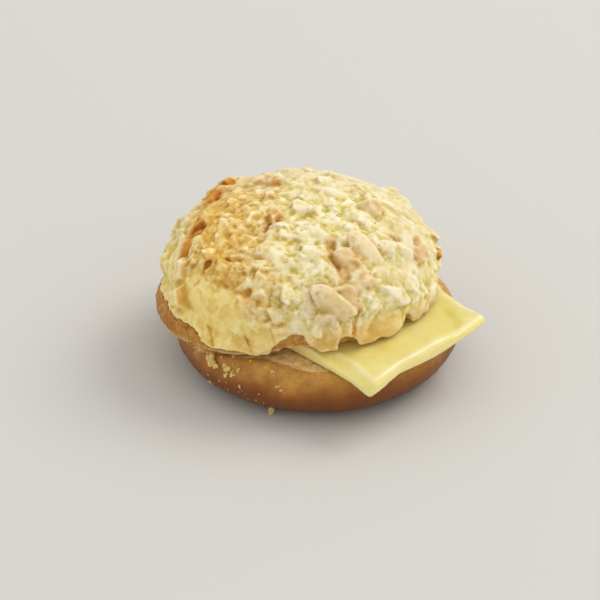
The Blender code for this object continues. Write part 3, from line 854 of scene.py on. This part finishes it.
def make_butter():
    """The butter: cold, cut by hand, its front edge slightly wavy, its left edge and corners worn soft."""
    slab = copy_of("butter_slab", "butter")
    remesh(slab, BUTTER_FACE, even_out=8)
    points, normals = points_of(slab), normals_of(slab)
    from_left = points[:, 0] + 31.1 - 2.8 * np.clip((points[:, 1] + 55.6) / 30, 0, 1)
    from_front = points[:, 1] + 55.6
    corner = np.stack([np.maximum(4.5 - from_left, 0), np.maximum(4.5 - from_front, 0)], axis=1)
    reach = np.linalg.norm(corner, axis=1)
    pull = np.where((corner > 0).all(axis=1) & (reach > 4.5), 1 - 4.5 / np.maximum(reach, 1e-6), 0)
    points[:, :2] += corner * pull[:, None]

    top = ease(normals[:, 2], 0.5, 0.9)
    upper = ease(normals[:, 2], -0.3, 0.5)
    free = 1 - ease(points[:, 1], -38, -26)
    height = 0.14 * rough(points, 9.0, 3.0) + 0.07 * rough_fine(points, 3.0, 2, 8.0)
    crease = distance_to_line(points, ((14.5, -54.5, 26.0), (20.0, -49.0, 26.5), (22.5, -42.0, 26.0)))
    height -= 0.6 * top * np.exp(-((crease / 2.2) ** 2))
    ridge = np.exp(-(((from_left - 3.6 - 0.5 * rough(points, 5.0, 2.0)) / 1.2) ** 2)) * top * free
    lip = np.exp(-(((from_front - 1.5) / 1.3) ** 2)) * top * ease(from_left, 2, 8)
    height += 0.15 * ridge + 0.2 * lip * (1 + 0.8 * rough(points, 6.0, 1.0))
    points = points + normals * height[:, None]
    rolled = np.clip(1 - from_left / 4.2, 0, 1) ** 2 * upper * free
    points[:, 2] -= 2.1 * rolled
    set_points(slab, keep_in_box(points))
    slab.data.shade_smooth()

    # The sides, the left ridge, the front lip and the right edge are painted paler as highlights, and the
    # rolled left edge and the sides brighter as painted glow.
    side = 1 - ease(np.abs(normals[:, 2]), 0.35, 0.9)
    right_edge = np.exp(-(((points[:, 0] - 30.0) / 1.4) ** 2)) * top * free
    patchy = 0.7 + 0.6 * rough(points, 6.0, 5.0)
    edge = np.maximum(0.22 * side, patchy * np.maximum(0.7 * ridge, np.maximum(lip, 0.8 * right_edge)))
    bright = np.maximum(0.8 * rolled, 0.7 * side)
    # The crease by the right corner is painted darker as shade.
    paint(slab, "butter", edge, np.exp(-((crease / 2.6) ** 2)) * top, bright)
    return slab


def make_fallen_crumbs():
    """Crumbs of the crust that lie on the bread's left side."""
    rng = random.Random(3)
    kinds = [broken_lump(seed) for seed in range(20, 24)]
    places = []
    for spot, size in FALLEN_CRUMBS:
        out = Vector((spot[0], spot[1], 3))
        centre = Vector(spot) + out.normalized() * 0.35 * size
        for _ in range(BITS_PER_CRUMB):
            part = centre + Vector([rng.uniform(-0.5, 0.5) * size for _ in range(3)])
            bit = size * rng.uniform(0.5, 0.95)
            matrix = standing(part, out, any_way(rng), bit, bit * 0.9, bit * 0.8)
            places.append((rng.randrange(len(kinds)), matrix))
    on_the_heel = len(places)
    for _ in range(HEEL_GRAINS):
        angle = math.radians(rng.gauss(193, 12))
        height = rng.uniform(6, 19)
        # The lower half's side bulges to 51.2 mm, and curves in below and above.
        radius = 51.2 - 14 * max(0.0, 1 - height / 14) ** 2.3 - 0.07 * max(0.0, height - 14) ** 2
        spot = (radius * math.cos(angle), radius * math.sin(angle), height)
        size = rng.uniform(0.2, 0.45)
        matrix = standing(spot, (spot[0], spot[1], 0), any_way(rng), size, size * 0.8, size * 0.7)
        places.append((rng.randrange(len(kinds)), matrix))
    for _ in range(CROWN_CRUMBS):
        angle = math.radians(rng.gauss(163, 17))
        height = rng.uniform(19.5, 29)
        # The upper half's side bulges to 50 mm.
        radius = 46.3 + 4.0 * (1 - ((height - 23.5) / 6.5) ** 2 if height > 23.5 else 1) - 0.3
        spot = (-0.5 + radius * math.cos(angle), 8.3 + radius * math.sin(angle), height)
        size = rng.uniform(0.2, 0.6)
        matrix = standing(spot, (spot[0], spot[1], 0), any_way(rng), size, size * 0.8, size * 0.7)
        places.append((rng.randrange(len(kinds)), matrix))
    crumbs = scattered("fallen_crumbs", kinds, places)
    set_points(crumbs, keep_in_box(points_of(crumbs)))
    crumbs.data.shade_smooth()
    toasted = []
    for number, (kind, _) in enumerate(places):
        shade = rng.uniform(0.05, 0.35) if number < on_the_heel else rng.uniform(0.5, 1.0)
        toasted += [shade] * len(kinds[kind][0])
    level = np.full(len(toasted), 0.5)
    paint(crumbs, "bake_and_shade", level, np.array(toasted), level + 0.3)
    paint(crumbs, "broken", *[np.full(len(crumbs.data.vertices), v) for v in (0.6, 0.6, 0.2)])
    return crumbs


# Finishes.


def feed(node, inputs):
    """Sets a node's inputs, each by its name or number, to a plain value or to the output that feeds it."""
    for key, value in inputs.items():
        if isinstance(value, bpy.types.NodeSocket):
            node.id_data.links.new(value, node.inputs[key])
        else:
            node.inputs[key].default_value = value


def add(material, kind, inputs, stops=(), **settings):
    """Adds a node with its settings and links. Stops are the places and hex colours of a colour ramp."""
    node = material.node_tree.nodes.new("ShaderNode" + kind)
    for name, value in settings.items():
        setattr(node, name, value)
    for number, (place, colour) in enumerate(stops):
        elements = node.color_ramp.elements
        element = elements[number] if number < len(elements) else elements.new(place)
        element.position, element.color = place, linear(colour)
    feed(node, inputs)
    return node.outputs


def new_finish(name):
    """A new material, and the shader whose sockets take its colour, gloss and dents."""
    material = bpy.data.materials.new(name)
    material.use_nodes = True
    return material, material.node_tree.nodes["Principled BSDF"]


def biscuit_finish():
    """Baked shortcrust: dry and matt, cream on broken tops, golden in its crevices, brown on its knobs."""
    made, shader = new_finish("baked_shortcrust")
    place = add(made, "TexCoord", {})["Object"]
    bake_and_shade = add(made, "Attribute", {}, attribute_name="bake_and_shade")["Color"]
    standing_out, brown, left = add(made, "SeparateColor", {"Color": bake_and_shade})[:3]
    broken = add(made, "Attribute", {}, attribute_name="broken")["Color"]
    chunk_tone, grain_tone = add(made, "SeparateColor", {"Color": broken})[:2]
    still = add(made, "Attribute", {}, attribute_name="still")["Color"]
    calm, dulled_where_lit = add(made, "SeparateColor", {"Color": still})[:2]

    # Grains of sugar and flour of 0.2 to 0.5 mm can't show, so the mottling is drawn at 1.6 mm.
    spots = {"Vector": place, "Scale": 1 / (1.6 * MM), "Detail": 4, "Roughness": 0.6}
    mottle = add(made, "TexNoise", spots)["Fac"]
    level = standing_out
    for tone, share in ((mottle, 0.3), (chunk_tone, 0.26), (grain_tone, 0.14)):
        level = add(made, "Math", {0: tone, 1: share, 2: level}, operation="MULTIPLY_ADD")[0]
    level = add(made, "Math", {0: level, 1: 0.35}, operation="SUBTRACT")[0]

    # Pale biscuit, from its crevices to its broken tops: straw, then cream; the darker crevices are painted
    # shade and the paler tops painted light.
    pale = ((0.08, "C9B258"), (0.28, "DFD086"), (0.5, "EEE2B6"), (0.7, "F4EBCA"), (0.9, "F9F2DE"))
    pale = add(made, "ValToRGB", {"Fac": level}, pale)["Color"]
    # The left side is golden: partly browned in the oven, partly painted warm shade on the side away from
    # the light, and paler again at its far edge as painted light.
    gold = ((0.08, "BC8024"), (0.28, "D8A848"), (0.5, "E9C46C"), (0.7, "F2D890"), (0.9, "FAEABE"))
    gold = add(made, "ValToRGB", {"Fac": level}, gold)["Color"]
    colour = add(made, "Mix", {0: left, 6: pale, 7: gold}, data_type="RGBA")[2]
    # The smooth tiles low on the side are plain egg yellow.
    plain = ((0.1, "DCB04A"), (0.45, "F8DA7E"), (0.6, "FEE490"), (0.9, "FFF0B2"))
    plain = add(made, "ValToRGB", {"Fac": level}, plain)["Color"]
    share = add(made, "Math", {0: calm, 1: 0.85}, operation="MULTIPLY")[0]
    colour = add(made, "Mix", {0: share, 6: colour, 7: plain}, data_type="RGBA")[2]
    # At the top and the right the crust is painted duller, as shade against the strong light that falls
    # there.
    share = add(made, "Math", {0: dulled_where_lit, 1: 0.55}, operation="MULTIPLY")[0]
    colour = add(made, "Mix", {0: share, 6: colour, 7: linear("DFD1AE")}, data_type="RGBA")[2]
    # Knobs, grooves and the lower edge are toasted brown, and faces turned to the left take this brown as
    # painted shade.
    toasted = ((0.05, "9A500C"), (0.4, "C98422"), (0.9, "E2AE4A"))
    toasted = add(made, "ValToRGB", {"Fac": level}, toasted)["Color"]
    colour = add(made, "Mix", {0: brown, 6: colour, 7: toasted}, data_type="RGBA")[2]

    # The finest grit, drawn at 0.45 mm, takes the last shine off the surface.
    grit = {"Vector": place, "Scale": 1 / (0.45 * MM), "Detail": 3, "Roughness": 0.6}
    grit = add(made, "TexNoise", grit)["Fac"]
    dents = add(made, "Bump", {"Strength": 0.5, "Distance": 0.12 * MM, "Height": grit})["Normal"]
    feed(shader, {"Base Color": colour, "Normal": dents, "Roughness": 0.82, "Specular IOR Level": 0.3})
    # Light passes a little way into the fatty crumb, and comes out warm.
    feed(shader, {"Subsurface Weight": 0.35, "Subsurface Scale": 1.6 * MM})
    feed(shader, {"Subsurface Radius": (1.0, 0.78, 0.42)})
    return made


def bread_finish(name):
    """Baked dough: a thin satin brown skin, paler towards the cut (partly its own colour, partly painted
    light, with painted shade lower down), over pale and open crumb.
    """
    made, shader = new_finish(name)
    place = add(made, "TexCoord", {})["Object"]
    shown = add(made, "Attribute", {}, attribute_name="bread")["Color"]
    cut, height, dark = add(made, "SeparateColor", {"Color": shown})[:3]

    # The oven browns the skin in clouds of about 9 mm, paler with height; on the lower half that paling is
    # partly painted light and painted shade.
    clouds = {"Vector": place, "Scale": 1 / (9.0 * MM), "Detail": 4, "Roughness": 0.6}
    clouds = add(made, "TexNoise", clouds)["Fac"]
    level = add(made, "Math", {0: clouds, 1: 0.7, 2: height}, operation="MULTIPLY_ADD")[0]
    level = add(made, "Math", {0: level, 1: 0.74, 2: -0.16}, operation="MULTIPLY_ADD", use_clamp=True)[0]
    skin = ((0.05, "7C4A20"), (0.3, "905420"), (0.5, "B07028"), (0.72, "D3973C"), (0.95, "E6B65C"))
    skin = add(made, "ValToRGB", {"Fac": level}, skin)["Color"]
    # Blisters and specks of about 1 mm.
    specks = {"Vector": place, "Scale": 1 / (1.1 * MM), "Detail": 2, "Roughness": 0.6}
    specks = add(made, "TexNoise", specks)["Fac"]
    share = add(made, "Math", {0: specks, 1: 0.9, 2: -0.3}, operation="MULTIPLY_ADD", use_clamp=True)[0]
    skin = add(made, "Mix", {0: share, 6: skin, 7: linear("8E5220")}, data_type="RGBA")[2]
    # The third value darkens the skin: painted shade at the lower half's front and left, and random
    # patches.
    share = add(made, "Math", {0: dark, 1: 1.9}, operation="MULTIPLY", use_clamp=True)[0]
    skin = add(made, "Mix", {0: share, 6: skin, 7: linear("754019")}, data_type="RGBA")[2]

    # Torn crumb: pores of 0.5 to 3 mm, drawn here at 1.8 mm and cut into the mesh as pits.
    pores = {"Vector": place, "Scale": 1 / (1.8 * MM), "Detail": 3, "Roughness": 0.6}
    pores = add(made, "TexNoise", pores)["Fac"]
    crumb = ((0.3, "E0B064"), (0.5, "F4D292"), (0.7, "FFEABA"))
    crumb = add(made, "ValToRGB", {"Fac": pores}, crumb)["Color"]
    colour = add(made, "Mix", {0: cut, 6: skin, 7: crumb}, data_type="RGBA")[2]

    # The skin is satin and the crumb is matt.
    gloss = add(made, "Math", {0: cut, 1: 0.35, 2: 0.48}, operation="MULTIPLY_ADD")[0]
    # The skin's fine wrinkles, at 0.8 mm.
    wrinkles = {"Vector": place, "Scale": 1 / (0.8 * MM), "Detail": 3, "Roughness": 0.6}
    wrinkles = add(made, "TexNoise", wrinkles)["Fac"]
    dents = add(made, "Bump", {"Strength": 0.35, "Distance": 0.12 * MM, "Height": wrinkles})["Normal"]
    feed(shader, {"Base Color": colour, "Roughness": gloss, "Normal": dents, "Specular IOR Level": 0.28})
    feed(shader, {"Subsurface Weight": 0.12, "Subsurface Scale": 1.5 * MM})
    feed(shader, {"Subsurface Radius": (1.0, 0.5, 0.25)})
    return made


def butter_finish():
    """Cold butter: dense and waxy, with a soft sheen; its edges are painted paler as highlights, and its
    sides and rolled left edge painted brighter as glow.
    """
    made, shader = new_finish("cold_butter")
    place = add(made, "TexCoord", {})["Object"]
    shown = add(made, "Attribute", {}, attribute_name="butter")["Color"]
    edge, crease, bright = add(made, "SeparateColor", {"Color": shown})[:3]

    # Faint clouds of about 14 mm, where the block was worked.
    clouds = {"Vector": place, "Scale": 1 / (14.0 * MM), "Detail": 2, "Roughness": 0.6}
    clouds = add(made, "TexNoise", clouds)["Fac"]
    body = add(made, "ValToRGB", {"Fac": clouds}, ((0.35, "E0D070"), (0.65, "EADF94")))["Color"]
    # The crease is painted darker as shade.
    share = add(made, "Math", {0: crease, 1: 0.6}, operation="MULTIPLY")[0]
    body = add(made, "Mix", {0: share, 6: body, 7: linear("D3C948")}, data_type="RGBA")[2]
    # Painted glow on the rolled left edge and the sides, and painted highlights along the edges.
    body = add(made, "Mix", {0: bright, 6: body, 7: linear("FFF092")}, data_type="RGBA")[2]
    colour = add(made, "Mix", {0: edge, 6: body, 7: linear("F6EBC4")}, data_type="RGBA")[2]

    # Soft dents of about 3.5 mm left by the knife.
    knife = {"Vector": place, "Scale": 1 / (3.5 * MM), "Detail": 3, "Roughness": 0.6}
    knife = add(made, "TexNoise", knife)["Fac"]
    dents = add(made, "Bump", {"Strength": 0.25, "Distance": 0.15 * MM, "Height": knife})["Normal"]
    feed(shader, {"Base Color": colour, "Normal": dents, "Roughness": 0.38, "Coat Weight": 0.08})
    feed(shader, {"Subsurface Weight": 0.35, "Subsurface Scale": 3.0 * MM})
    feed(shader, {"Subsurface Radius": (1.0, 0.8, 0.3)})
    return made


# Floor, light and camera.


def make_stage():
    """A pale floor that reaches well past every view."""
    bpy.ops.object.select_all(action="DESELECT")
    bpy.ops.mesh.primitive_plane_add(size=FLOOR_SIZE)
    floor = bpy.context.object
    floor.name = "floor"
    floor.location.z = cad_low.z - 0.02 * MM
    material, shader = new_finish("matt_card")
    feed(shader, {"Base Color": linear("D2D1CE"), "Roughness": 0.9, "Specular IOR Level": 0.1})
    floor.data.materials.append(material)


def add_softbox(name, direction, distance, size, power, colour):
    """A square soft light that faces the bun."""
    light = bpy.data.lights.new(name, "AREA")
    light.shape = "SQUARE"
    light.size = size
    light.energy = power
    light.color = linear(colour)[:3]
    lamp = bpy.data.objects.new(name, light)
    bpy.context.scene.collection.objects.link(lamp)
    lamp.location = direction.normalized() * distance
    lamp.rotation_euler = (Vector((0, 0, 0.03)) - lamp.location).to_track_quat("-Z", "Y").to_euler()


def light_the_bun():
    """Soft daylight from the right and behind, and a bright room all round."""
    world = bpy.data.worlds.new("bright_room")
    world.use_nodes = True
    feed(world.node_tree.nodes["Background"], {"Color": linear("F2F1EE"), "Strength": ROOM_BRIGHTNESS})
    bpy.context.scene.world = world
    key = SHOT_RIGHT * 0.75 + SHOT_AWAY * 0.35 + Vector((0, 0, 0.95))
    add_softbox("window", key, WINDOW_DISTANCE, WINDOW_SIZE, WINDOW_POWER, "FFFAF4")
    bpy.context.scene.view_settings.view_transform = "Standard"


def place_camera():
    """The camera looks along the photograph's line of sight with a long lens."""
    camera = bpy.data.objects.new("camera", bpy.data.cameras.new("camera"))
    bpy.context.scene.collection.objects.link(camera)
    back = -SHOT_AWAY * math.cos(SHOT_ELEVATION) + Vector((0, 0, math.sin(SHOT_ELEVATION)))
    camera.location = SHOT_AIM + back * SHOT_DISTANCE
    camera.rotation_euler = (-back).to_track_quat("-Z", "Y").to_euler()
    camera.data.lens = SHOT_LENS
    camera.data.clip_start = 0.05
    bpy.context.scene.camera = camera


biscuit = biscuit_finish()
hand_in(make_heel(), "heel_bread", bread_finish("baked_dough_lower"))
hand_in(make_crown(), "crown_bread", bread_finish("baked_dough_upper"))
hand_in(make_butter(), "butter_slab", butter_finish())
crust = make_crust()
crumbs = make_crumbs(crust, np.random.default_rng(8))
hand_in(crust, "biscuit_crust", biscuit)
hand_in(crumbs, None, biscuit)
hand_in(make_fallen_crumbs(), None, biscuit)
make_stage()
light_the_bun()
place_camera()
